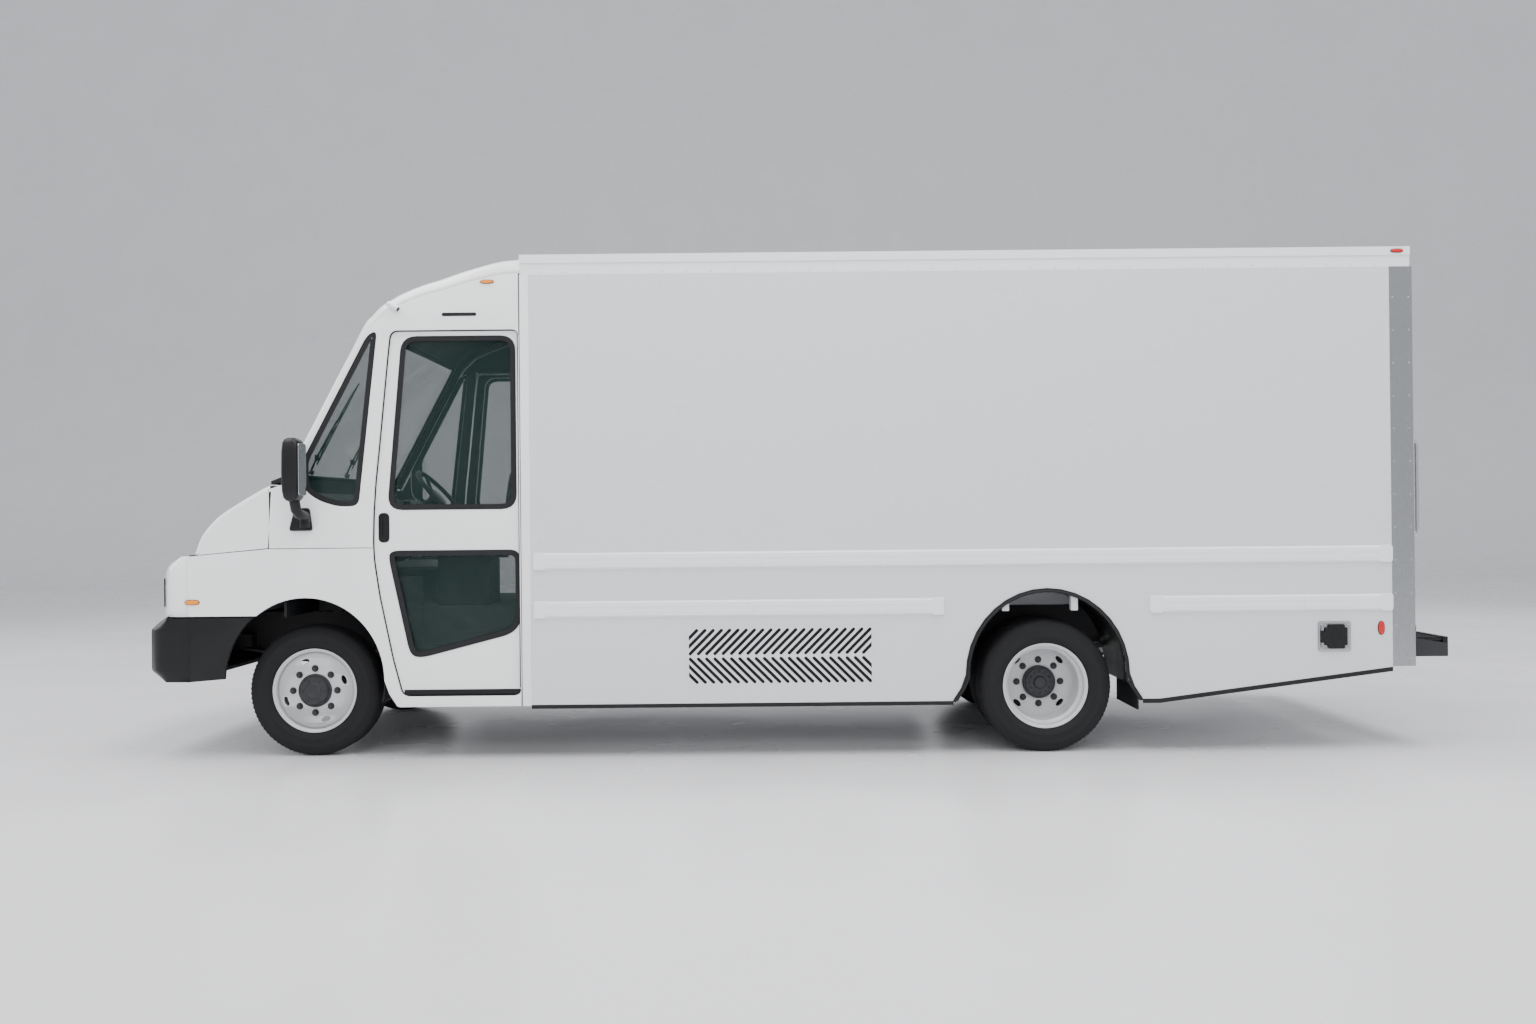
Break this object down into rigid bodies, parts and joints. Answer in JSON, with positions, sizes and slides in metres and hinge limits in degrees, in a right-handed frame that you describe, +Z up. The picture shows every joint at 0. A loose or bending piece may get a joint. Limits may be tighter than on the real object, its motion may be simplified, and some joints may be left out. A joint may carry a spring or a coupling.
{
  "type": "mail delivery truck",
  "caption": "Electric walk-in step van for mail delivery, with sliding cab doors, a tall cargo box, dual rear wheels and swinging rear doors.",
  "frame": {"origin": "on the ground under the middle of the truck", "axes": "+Z up, +X towards the rear of the truck, -Y towards the driver's side"},
  "size_m": [8.096, 2.938, 3.07],
  "materials": {
    "white_paint": "gloss",
    "body_side": "gloss",
    "rail_white": "satin",
    "post_aluminium": "brushed",
    "frame_black": "satin",
    "battery_case": "satin",
    "axle_iron": "satin",
    "spring_steel": "satin",
    "knuckle_iron": "cast",
    "rim_silver": "satin",
    "tyre": "matte",
    "floor_aluminium": "satin",
    "black_rubber": "matte",
    "black_plastic": "textured",
    "vent_white": "gloss",
    "latch_steel": "brushed",
    "interior_panel": "satin",
    "cab_floor_rubber": "ribbed",
    "tinted_glass": "gloss",
    "lamp_clear": "gloss",
    "lamp_amber": "gloss",
    "dash_plastic": "grained",
    "seat_fabric": "woven",
    "inlet_silver": "satin"
  },
  "bodies": {
    "truck": {"chassis_frame": "frame_black", "battery_packs": "battery_case", "rear_drive_axle": "axle_iron", "front_axle_beam": "axle_iron", "leaf_springs": "spring_steel", "cargo_floor": "floor_aluminium", "cargo_side_left": "body_side", "cargo_side_right": "body_side", "cargo_roof": "body_side", "roof_rails": "rail_white", "rub_rails": "rail_white", "lower_trims": "black_rubber", "vent_grille": "vent_white", "rear_frame": "post_aluminium", "rear_step": "black_plastic", "bulkhead": "interior_panel", "cab_floor": "cab_floor_rubber", "cab_side_left": "white_paint", "cab_side_right": "white_paint", "cab_roof": "white_paint", "cowl": "dash_plastic", "nose_panels": "white_paint", "front_bumper": "black_plastic", "headlamps": "lamp_clear", "cab_glass": "tinted_glass", "charge_inlet": "inlet_silver", "dashboard": "dash_plastic", "steering_column": "black_plastic", "seat_base": "frame_black", "marker_lamps": "lamp_amber"},
    "knuckle_left": {"steering_knuckle_left": "knuckle_iron"},
    "knuckle_right": {"steering_knuckle_right": "knuckle_iron"},
    "tie_rod": {"tie_rod": "knuckle_iron"},
    "wheel_front_left": {"front_wheel_left": "rim_silver", "front_tyre_left": "tyre"},
    "wheel_front_right": {"front_wheel_right": "rim_silver", "front_tyre_right": "tyre"},
    "wheel_rear_left": {"rear_wheels_left": "rim_silver", "rear_tyres_left": "tyre"},
    "wheel_rear_right": {"rear_wheels_right": "rim_silver", "rear_tyres_right": "tyre"},
    "door_left": {"side_door_left": "white_paint", "door_glass_left": "tinted_glass"},
    "door_right": {"side_door_right": "white_paint", "door_glass_right": "tinted_glass"},
    "hood": {"hood": "white_paint"},
    "rear_door_left": {"rear_door_left": "body_side"},
    "rear_door_right": {"rear_door_right": "body_side"},
    "latch": {"rear_latch": "latch_steel"},
    "bulkhead_door": {"bulkhead_door": "interior_panel"},
    "steering_wheel": {"steering_wheel": "black_plastic"},
    "brake_pedal": {"brake_pedal": "black_plastic"},
    "accelerator_pedal": {"accelerator_pedal": "black_plastic"},
    "seat": {"seat_cushion": "seat_fabric"},
    "seat_back": {"seat_back": "seat_fabric"},
    "mirror_left": {"mirror_left": "black_plastic"},
    "mirror_right": {"mirror_right": "black_plastic"},
    "wiper_left": {"wiper_left": "black_plastic"},
    "wiper_right": {"wiper_right": "black_plastic"},
    "charge_cover": {"charge_cover": "black_plastic"}
  },
  "joints": [
    {"name": "steer_left", "type": "hinge", "parent": "truck", "child": "knuckle_left", "pos_m": [-2.963, -0.9, 0.405], "axis": [0, 0, 1], "range_deg": [-34, 34]},
    {"name": "steer_right", "type": "hinge", "parent": "truck", "child": "knuckle_right", "pos_m": [-2.963, 0.9, 0.405], "axis": [0, 0, 1], "range_deg": [-35, 35]},
    {"name": "tie_rod_slide", "type": "slide", "parent": "truck", "child": "tie_rod", "axis": [0, 1, 0], "range_m": [-0.1, 0.1]},
    {"name": "steering_wheel_turn", "type": "hinge", "parent": "truck", "child": "steering_wheel", "pos_m": [-2.32, -0.45, 1.62], "axis": [0.7431, 0, 0.6691], "range_deg": [-490, 490]},
    {"name": "wheel_spin_front_left", "type": "hinge", "parent": "knuckle_left", "child": "wheel_front_left", "pos_m": [-2.963, -0.962, 0.405], "axis": [0, 1, 0], "continuous": true},
    {"name": "wheel_spin_rear_left", "type": "hinge", "parent": "truck", "child": "wheel_rear_left", "pos_m": [1.558, -0.92, 0.405], "axis": [0, 1, 0], "continuous": true},
    {"name": "wheel_spin_front_right", "type": "hinge", "parent": "knuckle_right", "child": "wheel_front_right", "pos_m": [-2.963, 0.962, 0.405], "axis": [0, 1, 0], "continuous": true},
    {"name": "wheel_spin_rear_right", "type": "hinge", "parent": "truck", "child": "wheel_rear_right", "pos_m": [1.558, 0.92, 0.405], "axis": [0, 1, 0], "continuous": true},
    {"name": "cab_door_left", "type": "slide", "parent": "truck", "child": "door_left", "axis": [1, 0, 0], "range_m": [0, 0.72]},
    {"name": "cab_door_right", "type": "slide", "parent": "truck", "child": "door_right", "axis": [1, 0, 0], "range_m": [0, 0.72]},
    {"name": "hood_lift", "type": "hinge", "parent": "truck", "child": "hood", "pos_m": [-3.1765, 0, 1.695], "axis": [0, 1, 0], "range_deg": [0, 50]},
    {"name": "rear_door_left_swing", "type": "hinge", "parent": "truck", "child": "rear_door_left", "pos_m": [3.814, -1.113, 1.8], "axis": [0, 0, -1], "range_deg": [0, 180]},
    {"name": "rear_door_right_swing", "type": "hinge", "parent": "truck", "child": "rear_door_right", "pos_m": [3.814, 1.113, 1.8], "axis": [0, 0, 1], "range_deg": [0, 180]},
    {"name": "latch_turn", "type": "hinge", "parent": "rear_door_right", "child": "latch", "pos_m": [3.816, 0.07, 1.412], "axis": [0, 0, -1], "range_deg": [0, 90]},
    {"name": "bulkhead_door_slide", "type": "slide", "parent": "truck", "child": "bulkhead_door", "axis": [0, 1, 0], "range_m": [0, 0.73]},
    {"name": "brake_press", "type": "hinge", "parent": "truck", "child": "brake_pedal", "pos_m": [-2.753, -0.47, 1.178], "axis": [0, 1, 0], "range_deg": [0, 16], "stiffness_Nm_per_rad": 20, "springref_deg": -5.73},
    {"name": "accelerator_press", "type": "hinge", "parent": "truck", "child": "accelerator_pedal", "pos_m": [-2.753, -0.32, 1.178], "axis": [0, 1, 0], "range_deg": [0, 16], "stiffness_Nm_per_rad": 20, "springref_deg": -5.73},
    {"name": "seat_slide", "type": "slide", "parent": "truck", "child": "seat", "axis": [-1, 0, 0], "range_m": [0, 0.15]},
    {"name": "seat_recline", "type": "hinge", "parent": "seat", "child": "seat_back", "pos_m": [-1.879, -0.45, 1.31], "axis": [0, 1, 0], "range_deg": [-20, 5]},
    {"name": "mirror_fold_left", "type": "hinge", "parent": "truck", "child": "mirror_left", "pos_m": [-2.94, -1.271, 1.48], "axis": [0, 0, 1], "range_deg": [-50, 75]},
    {"name": "mirror_fold_right", "type": "hinge", "parent": "truck", "child": "mirror_right", "pos_m": [-2.94, 1.271, 1.48], "axis": [0, 0, -1], "range_deg": [-50, 75]},
    {"name": "wiper_sweep_left", "type": "hinge", "parent": "truck", "child": "wiper_left", "pos_m": [-3.08697, -0.69, 1.76878], "axis": [0.8841, 0, -0.4673], "range_deg": [0, 100]},
    {"name": "wiper_sweep_right", "type": "hinge", "parent": "truck", "child": "wiper_right", "pos_m": [-3.08697, 0.03, 1.76878], "axis": [0.8841, 0, -0.4673], "range_deg": [0, 100]},
    {"name": "charge_cover_open", "type": "hinge", "parent": "truck", "child": "charge_cover", "pos_m": [3.226, -1.236, 0.699], "axis": [0, 0, -1], "range_deg": [0, 110]}
  ],
  "couplings": [
    {"joint": "steer_right", "follows": "steer_left", "ratio": 1},
    {"joint": "tie_rod_slide", "follows": "steer_left", "m_per_rad": 0.15},
    {"joint": "steering_wheel_turn", "follows": "steer_left", "ratio": 14},
    {"joint": "wiper_sweep_right", "follows": "wiper_sweep_left", "ratio": 1}
  ]
}
